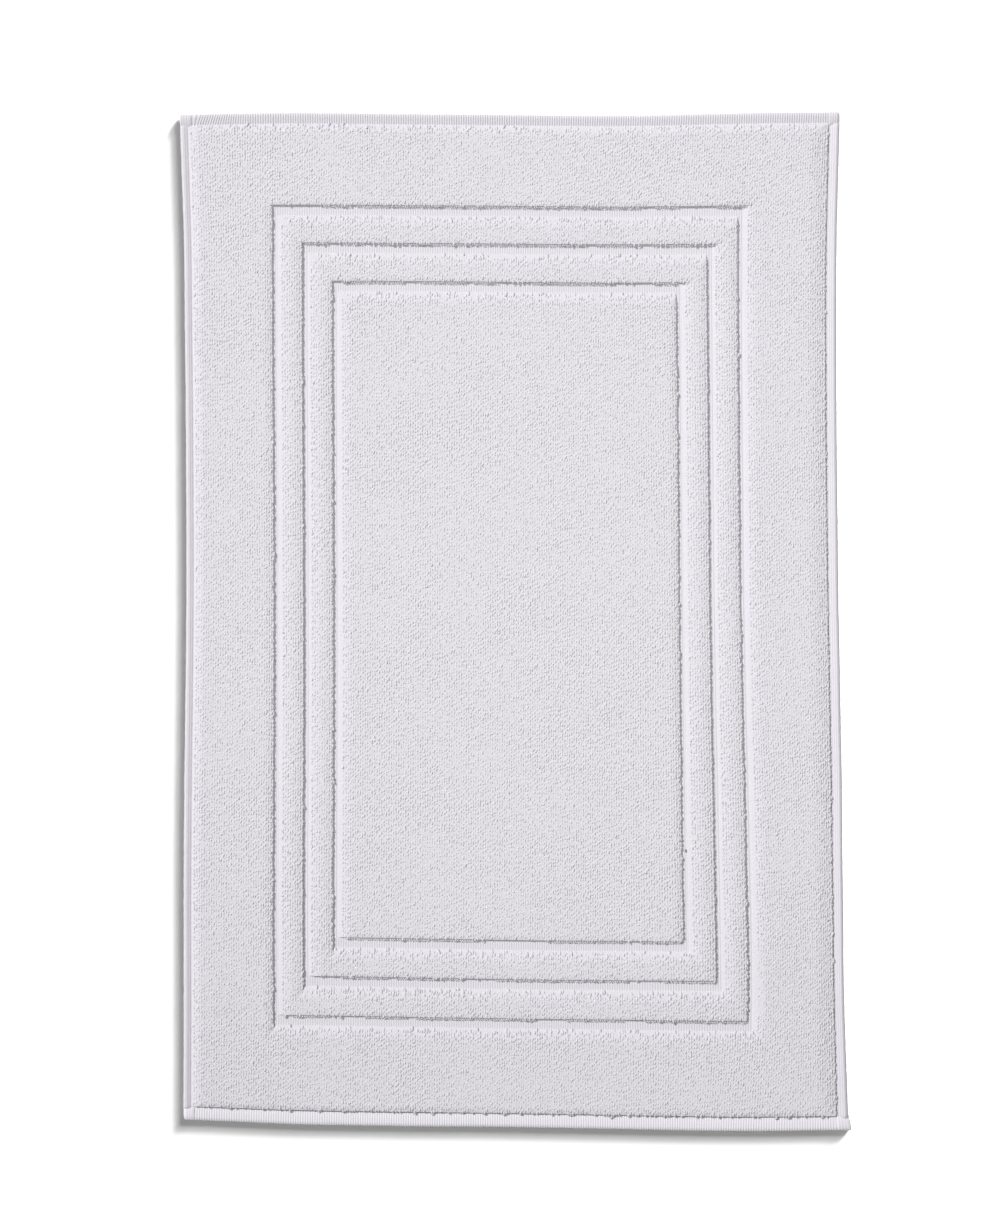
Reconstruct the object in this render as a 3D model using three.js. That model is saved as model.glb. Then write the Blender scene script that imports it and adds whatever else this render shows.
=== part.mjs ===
// A woven cotton terry bath mat, lying flat with its face up.
//
// One ground cloth carries loops of pile on its face and on its back. The pile is woven in four zones, a
// border, two bands and a centre panel, and three bare channels of ground cloth run round between them.
// The four edges are woven without pile, turned under twice and lockstitched, the two long side hems
// first and then the two end hems, which close over the ends of the side hems.
//
// Millimetres, +Z up, +Y along the mat. The origin lies on the floor under the middle of the mat.

import * as THREE from 'three';

// Finished size of the mat, over its hems.
const MAT_WIDTH = 559;
const MAT_LENGTH = 864;

// Cloth and pile, through the thickness.
const GROUND_THICKNESS = 1.0;
const PILE_HEIGHT = 3.5;
const PILE_ROUNDING = 0.9;
const PILE_CORNER_RADIUS = 1.5;

// Widths of the zones from each edge inwards. Side widths run across the mat, end widths along it.
const SIDE_HEM_WIDTH = 9;
const END_HEM_WIDTH = 11.5;
const SIDE_BORDER_WIDTH = 65.7;
const END_BORDER_WIDTH = 68.5;
const SIDE_CHANNEL_WIDTH = 9.8;
const END_CHANNEL_WIDTH = 11.2;
const SIDE_BAND_WIDTH = 15.6;
const END_BAND_WIDTH = 21.6;

// Hem stitching: how far each row lies from the inner edge of its hem.
const SIDE_STITCH_INSET = 3;
const END_STITCH_INSET = 1.8;
const THREAD_DIAMETER = 0.5;

// Pieces that touch on the real mat keep this gap.
const CLEARANCE = 0.3;

// Roundness of the drawn curves.
const FOLD_SEGMENTS = 8;
const CORNER_SEGMENTS = 3;
const THREAD_SIDES = 8;

// Levels through the thickness, worked out from the back pile, which lies on the floor.
const groundBottom = PILE_HEIGHT + CLEARANCE;
const groundMiddle = groundBottom + GROUND_THICKNESS / 2;
const groundTop = groundBottom + GROUND_THICKNESS;
const facePileBottom = groundTop + CLEARANCE;
const plyPitch = GROUND_THICKNESS + CLEARANCE;
const hemBottom = groundTop - GROUND_THICKNESS - 2 * plyPitch;

const material = (color, roughness) => new THREE.MeshStandardMaterial({ color, roughness, metalness: 0 });
const pileCotton = material(0xdfdce3, 0.98);
const groundCotton = material(0xd9d7dd, 0.94);
const hemCotton = material(0xdad8de, 0.94);
const sewingThread = material(0xe6e4ea, 0.7);

const mat = new THREE.Group();

function addMesh(parent, name, geometry, finish) {
  const mesh = new THREE.Mesh(geometry, finish);
  mesh.name = name;
  parent.add(mesh);
  return mesh;
}

// A rectangle about the origin with rounded corners, drawn anticlockwise.
function roundedRectangle(path, width, length, radius) {
  const x = width / 2;
  const y = length / 2;
  path.moveTo(x, -y + radius);
  path.absarc(x - radius, y - radius, radius, 0, Math.PI / 2, false);
  path.absarc(-x + radius, y - radius, radius, Math.PI / 2, Math.PI, false);
  path.absarc(-x + radius, -y + radius, radius, Math.PI, 1.5 * Math.PI, false);
  path.absarc(x - radius, -y + radius, radius, 1.5 * Math.PI, 2 * Math.PI, false);
  path.closePath();
  return path;
}

// The zones from the outside in: the outer size of each, and the size of the hole inside it.
function pileZones() {
  const rings = [
    { zone: 'border', side: SIDE_BORDER_WIDTH, end: END_BORDER_WIDTH },
    { zone: 'outer_band', side: SIDE_BAND_WIDTH, end: END_BAND_WIDTH },
    { zone: 'inner_band', side: SIDE_BAND_WIDTH, end: END_BAND_WIDTH },
  ];
  let width = MAT_WIDTH - 2 * (SIDE_HEM_WIDTH + CLEARANCE);
  let length = MAT_LENGTH - 2 * (END_HEM_WIDTH + CLEARANCE);
  const zones = [];
  for (const { zone, side, end } of rings) {
    const hole = { width: width - 2 * side, length: length - 2 * end };
    zones.push({ zone, width, length, hole });
    width = hole.width - 2 * SIDE_CHANNEL_WIDTH;
    length = hole.length - 2 * END_CHANNEL_WIDTH;
  }
  zones.push({ zone: 'centre', width, length, hole: null });
  return zones;
}

// One zone of pile: a slab that rounds off where its outermost loops lean out over the bare cloth.
function pileGeometry({ width, length, hole }) {
  const outline = roundedRectangle(new THREE.Shape(), width, length, PILE_CORNER_RADIUS);
  if (hole) {
    outline.holes.push(roundedRectangle(new THREE.Path(), hole.width, hole.length, PILE_CORNER_RADIUS));
  }
  const geometry = new THREE.ExtrudeGeometry(outline, {
    depth: PILE_HEIGHT - 2 * PILE_ROUNDING,
    bevelThickness: PILE_ROUNDING,
    bevelSize: PILE_ROUNDING,
    bevelOffset: -PILE_ROUNDING,
    bevelSegments: 2,
    curveSegments: CORNER_SEGMENTS,
  });
  return geometry.translate(0, 0, PILE_ROUNDING);
}

function addPile() {
  for (const zone of pileZones()) {
    addMesh(mat, `back_pile_${zone.zone}`, pileGeometry(zone), pileCotton);
    addMesh(mat, `face_pile_${zone.zone}`, pileGeometry(zone), pileCotton).position.z = facePileBottom;
  }
}

// The ground cloth ends where the hems begin: from there on it is the upper ply of each hem.
function addGroundCloth() {
  const width = MAT_WIDTH - 2 * (SIDE_HEM_WIDTH + CLEARANCE);
  const length = MAT_LENGTH - 2 * (END_HEM_WIDTH + CLEARANCE);
  const cloth = new THREE.BoxGeometry(width, length, GROUND_THICKNESS);
  addMesh(mat, 'ground_cloth', cloth, groundCotton).position.z = groundMiddle;
}

// Section of a hem turned under twice, with x outwards from the inner edge and y up. The upper ply runs
// out to the fold, the lower ply comes back under it, and the raw end is tucked in between the two.
function hemSection(width) {
  const half = GROUND_THICKNESS / 2;
  const upper = groundMiddle;
  const middle = upper - plyPitch;
  const lower = middle - plyPitch;
  const outerFold = width - plyPitch - half;
  const innerFold = plyPitch / 2 + half;
  const innerFoldLevel = (lower + middle) / 2;
  const rawEnd = outerFold - CLEARANCE;
  const down = -Math.PI / 2;
  const up = Math.PI / 2;

  const section = new THREE.Shape();
  section.moveTo(0, upper + half);
  section.lineTo(outerFold, upper + half);
  section.absarc(outerFold, middle, plyPitch + half, up, down, true);
  section.lineTo(innerFold, lower - half);
  section.absarc(innerFold, innerFoldLevel, plyPitch / 2 + half, down, up, true);
  section.lineTo(rawEnd, middle + half);
  section.lineTo(rawEnd, middle - half);
  section.lineTo(innerFold, middle - half);
  section.absarc(innerFold, innerFoldLevel, plyPitch / 2 - half, up, 3 * up, false);
  section.lineTo(outerFold, lower + half);
  section.absarc(outerFold, middle, plyPitch - half, down, up, false);
  section.lineTo(0, upper - half);
  section.closePath();
  return section;
}

// A hem and its two threads, built for the right-hand edge and turned to the edge they belong to.
// edgeDistance is from the middle of the mat to the folded edge.
function addHem({ name, width, length, edgeDistance, stitchInset, turn }) {
  const edge = new THREE.Group();
  edge.rotation.z = turn;
  mat.add(edge);

  const fold = new THREE.ExtrudeGeometry(hemSection(width), {
    depth: length,
    bevelEnabled: false,
    curveSegments: FOLD_SEGMENTS,
  });
  fold.rotateX(Math.PI / 2);
  const innerEdge = edgeDistance - width;
  addMesh(edge, `${name}_hem`, fold, hemCotton).position.set(innerEdge, length / 2, 0);

  const radius = THREAD_DIAMETER / 2;
  const needleLevel = groundTop + CLEARANCE + radius;
  const bobbinLevel = hemBottom - CLEARANCE - radius;
  for (const [thread, level] of [['needle_thread', needleLevel], ['bobbin_thread', bobbinLevel]]) {
    const seam = new THREE.CylinderGeometry(radius, radius, length - 2 * CLEARANCE, THREAD_SIDES);
    const mesh = addMesh(edge, `${name}_${thread}`, seam, sewingThread);
    mesh.position.set(innerEdge + stitchInset, 0, level);
  }
}

function addHems() {
  const sideLength = MAT_LENGTH - 2 * (END_HEM_WIDTH + CLEARANCE);
  const quarter = Math.PI / 2;
  const side = {
    width: SIDE_HEM_WIDTH,
    length: sideLength,
    edgeDistance: MAT_WIDTH / 2,
    stitchInset: SIDE_STITCH_INSET,
  };
  const end = {
    width: END_HEM_WIDTH,
    length: MAT_WIDTH,
    edgeDistance: MAT_LENGTH / 2,
    stitchInset: END_STITCH_INSET,
  };
  addHem({ ...side, name: 'right_side', turn: 0 });
  addHem({ ...end, name: 'top_end', turn: quarter });
  addHem({ ...side, name: 'left_side', turn: 2 * quarter });
  addHem({ ...end, name: 'bottom_end', turn: -quarter });
}

addGroundCloth();
addPile();
addHems();

export default mat;
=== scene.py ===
import math

import bpy
import numpy as np
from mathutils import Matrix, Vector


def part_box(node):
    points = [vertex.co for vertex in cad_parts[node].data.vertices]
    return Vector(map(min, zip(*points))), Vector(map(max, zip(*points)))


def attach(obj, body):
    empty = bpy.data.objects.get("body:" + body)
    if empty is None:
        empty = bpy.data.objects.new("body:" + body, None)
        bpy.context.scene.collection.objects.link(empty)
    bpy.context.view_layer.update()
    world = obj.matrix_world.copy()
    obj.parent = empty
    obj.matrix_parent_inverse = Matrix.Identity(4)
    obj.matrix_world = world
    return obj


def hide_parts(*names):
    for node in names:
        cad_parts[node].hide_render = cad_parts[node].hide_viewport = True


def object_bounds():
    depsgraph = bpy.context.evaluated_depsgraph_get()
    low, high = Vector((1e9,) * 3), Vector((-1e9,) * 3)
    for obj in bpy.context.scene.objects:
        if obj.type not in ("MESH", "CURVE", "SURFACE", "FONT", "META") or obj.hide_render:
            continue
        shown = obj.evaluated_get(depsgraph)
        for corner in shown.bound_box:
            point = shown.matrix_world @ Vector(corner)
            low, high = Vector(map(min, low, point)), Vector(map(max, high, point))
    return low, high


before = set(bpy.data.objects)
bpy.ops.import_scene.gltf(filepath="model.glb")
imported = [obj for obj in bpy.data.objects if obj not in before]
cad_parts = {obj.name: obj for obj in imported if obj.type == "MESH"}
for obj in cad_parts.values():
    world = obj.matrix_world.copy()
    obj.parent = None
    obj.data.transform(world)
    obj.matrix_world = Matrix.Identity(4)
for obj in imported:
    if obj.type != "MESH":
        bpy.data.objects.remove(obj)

MM = 0.001
cad_low, cad_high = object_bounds()


# ---------------------------------------------------------------------------------------------------------
# The studio. The mat lies on a white floor in soft white light and is seen from straight above. One light
# rakes over the cotton from the upper left, and a lamp overhead pools its light on the upper part. Three
# more, for the floor alone, lay the mat's soft shadow down and to the left.

PICTURE_HEIGHT = 1035.5 * MM
HEM_LEVEL = 4 * MM
CAMERA_LENS = 85
CAMERA_SENSOR = 36
CAMERA_RIGHT = -11.5 * MM
CAMERA_UP = 11.1 * MM
FLOOR_WIDTH = 14
FLOOR_WHITE = (0.93, 0.93, 0.93, 1)

camera_data = bpy.data.cameras.new("camera")
camera_data.lens = CAMERA_LENS
camera_data.sensor_width = CAMERA_SENSOR
camera = bpy.data.objects.new("camera", camera_data)
camera.location = (CAMERA_RIGHT, CAMERA_UP, HEM_LEVEL + PICTURE_HEIGHT * CAMERA_LENS / CAMERA_SENSOR)
bpy.context.scene.collection.objects.link(camera)
bpy.context.scene.camera = camera
bpy.context.scene.view_settings.view_transform = "Standard"


def deselect_all():
    bpy.ops.object.select_all(action="DESELECT")


def new_material(name):
    """A new finish, with its node tree and its shader."""
    made = bpy.data.materials.new(name)
    made.use_nodes = True
    tree = made.node_tree
    shader = tree.nodes["Principled BSDF"]
    return made, tree, shader


deselect_all()
bpy.ops.mesh.primitive_plane_add(size=FLOOR_WIDTH)
floor = bpy.context.object
floor.name = "floor"
floor_white, _, floor_shader = new_material("floor_white")
floor_shader.inputs["Base Color"].default_value = FLOOR_WHITE
floor_shader.inputs["Roughness"].default_value = 1
floor_shader.inputs["Specular IOR Level"].default_value = 0
floor.data.materials.append(floor_white)

lit_floor = bpy.data.collections.new("lit_floor")
lit_floor.objects.link(floor)
lit_mat = bpy.data.collections.new("lit_mat")


def sunlight(name, strength, softness, elevation, azimuth, lit, tint=(1, 1, 1)):
    """A distant light on some pieces only. It comes from azimuth, in degrees left of the mat's top."""
    data = bpy.data.lights.new(name, "SUN")
    data.energy = strength
    data.color = tint
    data.angle = math.radians(softness)
    lamp = bpy.data.objects.new(name, data)
    lamp.rotation_euler = (math.radians(90 - elevation), 0, math.radians(180 + azimuth))
    bpy.context.scene.collection.objects.link(lamp)
    lamp.light_linking.receiver_collection = lit


RAKING_TINT = (1, 0.985, 1.02)
sunlight("raking_light", strength=2.54, softness=12, elevation=48, azimuth=50, lit=lit_mat,
         tint=RAKING_TINT)
sunlight("low_floor_light", strength=5.3, softness=13, elevation=18.5, azimuth=-39, lit=lit_floor)
sunlight("high_floor_light", strength=4.0, softness=30, elevation=26, azimuth=-39, lit=lit_floor)
sunlight("floor_fill", strength=0.26, softness=60, elevation=90, azimuth=0, lit=lit_floor)

LAMP_HEIGHT = 3
LAMP_UP = 0.25
LAMP_REACH = 1.0
LAMP_RADIUS = 0.3
LAMP_POWER = 72
overhead = bpy.data.lights.new("overhead_lamp", "SPOT")
overhead.energy = LAMP_POWER
overhead.shadow_soft_size = LAMP_RADIUS
overhead.spot_size = 2 * math.atan(LAMP_REACH / LAMP_HEIGHT)
overhead.spot_blend = 1
overhead_lamp = bpy.data.objects.new("overhead_lamp", overhead)
overhead_lamp.location = (0, LAMP_UP, LAMP_HEIGHT)
bpy.context.scene.collection.objects.link(overhead_lamp)
overhead_lamp.light_linking.receiver_collection = lit_mat

AIR_TINT = (1, 1, 0.975, 1)
AIR_STRENGTH = 0.2
studio = bpy.data.worlds.new("studio")
studio.use_nodes = True
bpy.context.scene.world = studio
air = studio.node_tree
air_light = air.nodes["Background"]
air_light.inputs["Color"].default_value = AIR_TINT
air_light.inputs["Strength"].default_value = AIR_STRENGTH
backdrop = air.nodes.new("ShaderNodeBackground")
backdrop.inputs["Color"].default_value = (1, 1, 1, 1)
backdrop.inputs["Strength"].default_value = 1
seen = air.nodes.new("ShaderNodeLightPath")
either = air.nodes.new("ShaderNodeMixShader")
air.links.new(seen.outputs["Is Camera Ray"], either.inputs["Fac"])
air.links.new(air_light.outputs["Background"], either.inputs[1])
air.links.new(backdrop.outputs["Background"], either.inputs[2])
air.links.new(either.outputs["Shader"], air.nodes["World Output"].inputs["Surface"])


# ---------------------------------------------------------------------------------------------------------
# How the mat lies. It is woven square, but it has been washed and laid down by hand, so its edges wander by
# a few millimetres. A lattice holds that drift, and each finished piece is laid through it.

MAT_WIDTH = cad_high.x - cad_low.x
MAT_LENGTH = cad_high.y - cad_low.y
LATTICE_WIDTH = 600 * MM
LATTICE_LENGTH = 900 * MM
LATTICE_HEIGHT = 60 * MM
# How far each edge lies to the right, in millimetres, from the bottom of the mat up.
LEFT_EDGE_DRIFT = (-2.6, -2.3, -2.3, -1.3, 0.2, 0.2, -0.7, -2.4, -7.0)
RIGHT_EDGE_DRIFT = (8.5, 2.4, 0.7, -0.2, -2.2, -3.6, -4.4, -3.6, -0.8)
# The same for the woven lines inside, for each row of the lattice from the bottom up. DRIFT_RIGHT says how
# far each of its seven points lies to the right, and DRIFT_UP how far each lies up, edges and all.
DRIFT_RIGHT = (
    (0, 0, 0, 0, 0, 0, 0),
    (0, 0.3, 0, 0, -1.6, 5.4, 0),
    (0, 0, 0, 0, -2.6, 4.2, 0),
    (0, 0.6, 0.2, 0, -3.0, 1.6, 0),
    (0, 0.8, 0.4, 0, -3.1, -0.9, 0),
    (0, 0.4, 0.2, 0, -3.9, -2.0, 0),
    (0, -0.3, 0, 0, -4.8, -2.9, 0),
    (0, -0.6, 0, 0, -5.0, -3.0, 0),
    (0, 0, 0, 0, 0, 0, 0),
)
DRIFT_UP = (
    (7.0, 2.1, 0.0, -0.8, -2.8, -4.3, -3.0),
    (3.4, 3.9, 2.5, 0.8, -0.2, -1.4, -1.4),
    (3.0, 5.0, 4.1, 2.7, 1.8, 1.6, 1.0),
    (2.6, 4.5, 3.6, 2.4, 1.7, 2.0, 1.2),
    (2.4, 4.0, 3.2, 2.1, 1.6, 2.2, 1.3),
    (2.2, 3.6, 3.0, 1.9, 1.4, 2.4, 1.4),
    (2.0, 3.1, 2.8, 1.8, 1.2, 2.5, 1.4),
    (1.0, 2.1, 1.7, 1.1, 0.4, 1.3, 1.0),
    (-1.8, 0.4, -0.4, -1.3, -2.0, 0.5, 1.5),
)


def lying_lattice():
    deselect_all()
    bpy.ops.object.add(type="LATTICE", location=(0, 0, 0))
    lattice = bpy.context.object
    lattice.name = "how_it_lies"
    lattice.scale = (LATTICE_WIDTH, LATTICE_LENGTH, LATTICE_HEIGHT)
    across = len(DRIFT_UP[0])
    along = len(DRIFT_UP)
    lattice.data.points_u = across
    lattice.data.points_v = along
    lattice.data.points_w = 2
    lattice.data.interpolation_type_u = "KEY_CARDINAL"
    lattice.data.interpolation_type_v = "KEY_CARDINAL"
    for place, point in enumerate(lattice.data.points):
        u = place % across
        v = place // across % along
        drift_x = DRIFT_RIGHT[v][u]
        if u == 0:
            drift_x = LEFT_EDGE_DRIFT[v]
        if u == across - 1:
            drift_x = RIGHT_EDGE_DRIFT[v]
        point.co_deform.x = point.co.x + drift_x * MM / LATTICE_WIDTH
        point.co_deform.y = point.co.y + DRIFT_UP[v][u] * MM / LATTICE_LENGTH
    return lattice


lie = lying_lattice()


def only(piece):
    """Makes this the one selected and active object, as an operator needs."""
    deselect_all()
    piece.select_set(True)
    bpy.context.view_layer.objects.active = piece


def apply_modifier(piece, kind, **settings):
    only(piece)
    modifier = piece.modifiers.new(kind.lower(), kind)
    for setting, value in settings.items():
        setattr(modifier, setting, value)
    bpy.ops.object.modifier_apply(modifier=modifier.name)


def places_of(mesh):
    found = np.empty(len(mesh.vertices) * 3)
    mesh.vertices.foreach_get("co", found)
    return found.reshape(-1, 3)


def set_places(mesh, places):
    mesh.vertices.foreach_set("co", np.asarray(places, np.float32).ravel())
    mesh.update()


def keep_woven_places(piece, woven):
    """Stores where each point was woven, in metres, which the weave follows once the mat is laid."""
    kept = piece.data.attributes.new("woven", "FLOAT_VECTOR", "POINT")
    kept.data.foreach_set("vector", np.asarray(woven, np.float32).ravel())


def map_from_above(piece):
    """A map for the finish, straight down on the mat."""
    mesh = piece.data
    layer = mesh.uv_layers.new(name="OFBake")
    corners = np.empty(len(mesh.loops), np.int32)
    mesh.loops.foreach_get("vertex_index", corners)
    flat = places_of(mesh)[:, :2]
    low = flat.min(0)
    span = (flat.max(0) - low).max()
    layer.uv.foreach_set("vector", ((flat - low) / span)[corners].astype(np.float32).ravel())


def lay_down(piece, finish, slot, *nodes, smooth=True, woven=None):
    """Finishes a piece: laid as the mat lies, given its cotton, and set in place of its CAD nodes. A bed of
    pile isn't smooth, so that its mitred corners stay crisp. A hem was woven flat, in other places."""
    keep_woven_places(piece, places_of(piece.data) if woven is None else woven)
    apply_modifier(piece, "LATTICE", object=lie)
    if smooth:
        piece.data.shade_smooth()
    piece.data.materials.clear()
    piece.data.materials.append(finish)
    lit_mat.objects.link(piece)
    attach(piece, "root")
    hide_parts(*nodes)


# ---------------------------------------------------------------------------------------------------------
# The ground cloth. Warp yarns run along the mat and make fine ribs, and thinner wefts cross them. It is one
# flat cloth from hem to hem, and it shows only in the three bare channels between the zones of pile.

WARP_PITCH = 2.05 * MM
WEFT_PITCH = 0.9 * MM
GROUND_RIB = 0.12 * MM
GROUND_ROWS = 24
COTTON_WHITE = (0.80, 0.784, 0.822, 1)
# What the ribs, the bulges where yarns cross and the fibres add to the height of the weave, and how bright
# it stays under the shade that is painted into the furrows between the ribs.
RIB_SHARE = 0.5
BULGE_SHARE = 0.35
FIBRE_SHARE = 0.3
FURROW_SHADE = 0.3
FIBRES_A_METRE = 2600
PATCHES_A_METRE = 22
FLECKS_A_METRE = 420
# How much the flecks and patches of wear add to that brightness, and how much of the sum is kept.
WOVEN_FLECKS = 0.4
WOVEN_PATCHES = 0.15
WOVEN_CONTRAST = 0.7


def group_of(name, outputs):
    """A new shader node group that is given a place and makes these masks."""
    group = bpy.data.node_groups.new(name, "ShaderNodeTree")
    group.interface.new_socket(name="Place", in_out="INPUT", socket_type="NodeSocketVector")
    for label in outputs:
        group.interface.new_socket(name=label, in_out="OUTPUT", socket_type="NodeSocketFloat")
    return group, group.nodes.new("NodeGroupInput"), group.nodes.new("NodeGroupOutput")


def sum_node(tree, operation, first, second=None, third=None):
    """A Math node on sockets or plain numbers. Returns its output socket."""
    node = tree.nodes.new("ShaderNodeMath")
    node.operation = operation
    for place, value in enumerate((first, second, third)):
        if value is None:
            continue
        if isinstance(value, (int, float)):
            node.inputs[place].default_value = value
        else:
            tree.links.new(value, node.inputs[place])
    return node.outputs[0]


def noise_node(tree, place, scale, detail=2, roughness=0.5):
    node = tree.nodes.new("ShaderNodeTexNoise")
    node.inputs["Scale"].default_value = scale
    node.inputs["Detail"].default_value = detail
    node.inputs["Roughness"].default_value = roughness
    tree.links.new(place, node.inputs["Vector"])
    return node.outputs["Fac"]


def make_ribbed_weave():
    """Plain weave of round warps and flat wefts. Height is 0 to 1, and painted Shade is 0 in the furrows."""
    group, given, made = group_of("ribbed_weave", ("Height", "Shade"))
    split = group.nodes.new("ShaderNodeSeparateXYZ")
    group.links.new(given.outputs["Place"], split.inputs[0])
    warp = sum_node(group, "DIVIDE", split.outputs["X"], WARP_PITCH)
    weft = sum_node(group, "DIVIDE", split.outputs["Y"], WEFT_PITCH)
    turn = sum_node(group, "MULTIPLY", warp, 2 * math.pi)
    round_warp = sum_node(group, "MULTIPLY_ADD", sum_node(group, "COSINE", turn), 0.5, 0.5)
    every_other = sum_node(group, "MULTIPLY", sum_node(group, "FLOOR", warp), 0.5)
    crossing = sum_node(group, "MULTIPLY", sum_node(group, "ADD", weft, every_other), 2 * math.pi)
    bulge = sum_node(group, "MULTIPLY_ADD", sum_node(group, "SINE", crossing), 0.5, 0.5)
    fibre = noise_node(group, given.outputs["Place"], FIBRES_A_METRE, 3, 0.6)
    ribs = sum_node(group, "MULTIPLY", round_warp, RIB_SHARE)
    height = sum_node(group, "MULTIPLY_ADD", bulge, BULGE_SHARE, ribs)
    height = sum_node(group, "MULTIPLY_ADD", fibre, FIBRE_SHARE, height)
    group.links.new(height, made.inputs["Height"])
    # Shade is painted shade: darkest in the furrows between the round warps, where real shade falls.
    shade = sum_node(group, "MULTIPLY_ADD", round_warp, 1 - FURROW_SHADE, FURROW_SHADE)
    group.links.new(shade, made.inputs["Shade"])
    return group


def make_cotton_wear():
    """Unevenness of washed cotton, 0 to 1. Patch changes over a few fingers' width, Fleck over a yarn's."""
    group, given, made = group_of("washed_cotton", ("Patch", "Fleck"))
    patch = noise_node(group, given.outputs["Place"], PATCHES_A_METRE)
    fleck = noise_node(group, given.outputs["Place"], FLECKS_A_METRE, 3, 0.65)
    group.links.new(patch, made.inputs["Patch"])
    group.links.new(fleck, made.inputs["Fleck"])
    return group


ribbed_weave = make_ribbed_weave()
washed_cotton = make_cotton_wear()


def woven_place(tree):
    """Where a point was woven, as kept by keep_woven_places."""
    kept = tree.nodes.new("ShaderNodeAttribute")
    kept.attribute_name = "woven"
    return kept.outputs["Vector"]


def wear_of(tree, place):
    """The patches and the flecks of wear, as masks."""
    wear = tree.nodes.new("ShaderNodeGroup")
    wear.node_tree = washed_cotton
    tree.links.new(place, wear.inputs["Place"])
    return wear.outputs["Patch"], wear.outputs["Fleck"]


def tinted(tree, shader, mask, dark, light):
    """Colours the shader from dark, where the mask is 0, to light, where it is 1."""
    mix = tree.nodes.new("ShaderNodeMix")
    mix.data_type = "RGBA"
    mix.inputs["A"].default_value = dark
    mix.inputs["B"].default_value = light
    tree.links.new(mask, mix.inputs["Factor"])
    tree.links.new(mix.outputs["Result"], shader.inputs["Base Color"])


def bumped(tree, shader, height, distance):
    """Raises the finish by up to this distance, where height is 1."""
    bump = tree.nodes.new("ShaderNodeBump")
    bump.inputs["Distance"].default_value = distance
    bump.inputs["Strength"].default_value = 1
    tree.links.new(height, bump.inputs["Height"])
    tree.links.new(bump.outputs["Normal"], shader.inputs["Normal"])


def shaded(colour, share):
    return tuple(c * share for c in colour[:3]) + (1,)


def matt_cotton(tree, shader, fleck, wear, smoothest, specular, sheen, sheen_roughness):
    """Makes the shader as matt as cotton, and by this wear rougher in the flecks."""
    rough = sum_node(tree, "MULTIPLY_ADD", fleck, wear, smoothest)
    tree.links.new(rough, shader.inputs["Roughness"])
    shader.inputs["Specular IOR Level"].default_value = specular
    shader.inputs["Sheen Weight"].default_value = sheen
    shader.inputs["Sheen Roughness"].default_value = sheen_roughness


def woven_cotton(name, depth, furrow, ridge):
    """Flat-woven cotton: ribs, crossings, fibre and a little unevenness from washing, with shade painted
    into the furrows. furrow and ridge are how white it is in that painted shade and on the ribs."""
    made, tree, shader = new_material(name)
    place = woven_place(tree)
    weave = tree.nodes.new("ShaderNodeGroup")
    weave.node_tree = ribbed_weave
    tree.links.new(place, weave.inputs["Place"])
    patch, fleck = wear_of(tree, place)
    mask = sum_node(tree, "MULTIPLY_ADD", fleck, WOVEN_FLECKS, weave.outputs["Shade"])
    mask = sum_node(tree, "MULTIPLY_ADD", patch, WOVEN_PATCHES, mask)
    mask = sum_node(tree, "MULTIPLY", mask, WOVEN_CONTRAST)
    # From the painted shade in the furrows to the ribs, with the wear of washing mixed in.
    tinted(tree, shader, mask, shaded(COTTON_WHITE, furrow), shaded(COTTON_WHITE, ridge))
    matt_cotton(tree, shader, fleck, wear=0.12, smoothest=0.86, specular=0.2, sheen=0.15,
                sheen_roughness=0.5)
    bumped(tree, shader, weave.outputs["Height"], depth)
    return made


# The ground cloth has a little painted shade in the furrows between its ribs.
ground_cotton = woven_cotton("ground_cotton", depth=0.25 * MM, furrow=0.90, ridge=1.05)

ground_low, ground_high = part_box("ground_cloth")
ground_width = ground_high.x - ground_low.x
ground_length = ground_high.y - ground_low.y
ground_columns = 4 * round(ground_width / WARP_PITCH)

deselect_all()
bpy.ops.mesh.primitive_grid_add(x_subdivisions=ground_columns, y_subdivisions=GROUND_ROWS, size=1)
ground_cloth = bpy.context.object
ground_cloth.name = "woven_ground_cloth"
cloth_places = places_of(ground_cloth.data) * (ground_width, ground_length, 1)
cloth_places[:, 2] = (ground_low.z + ground_high.z) / 2
cloth_places[:, 2] += GROUND_RIB * np.cos(2 * math.pi * cloth_places[:, 0] / WARP_PITCH)
set_places(ground_cloth.data, cloth_places)
apply_modifier(ground_cloth, "SOLIDIFY", thickness=ground_high.z - ground_low.z, offset=0)
lay_down(ground_cloth, ground_cotton, "ground_weave", "ground_cloth")


# ---------------------------------------------------------------------------------------------------------
# The pile. Each loop is a soft cotton yarn that the loom leaves standing as a small arch along the warp.
# Loops stand in the columns of the warp, over a tight bed of lower ones that hides the cloth. Washing has
# laid the pile a little towards the bottom right: each zone slopes up on its upper and left edges, and its
# loops hang over the bare cloth on its right and lower ones.

ROW_PITCH = 3.4 * MM
LOOP_WIDTH = 2.35 * MM
LOOP_LENGTH = 4.85 * MM
LOOP_YARN = 0.79 * MM
LOOP_DROOP = 0.55 * MM
BED_DEPTH = 0.31 * MM
CHANNEL_WIDTH = 9.8 * MM
CHANNEL_LENGTH = 11.2 * MM
EDGE_MARGIN = 0.7 * MM
SPREAD_ROOM = 6 * MM
STEP_WIDTH = 1.3 * MM
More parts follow.
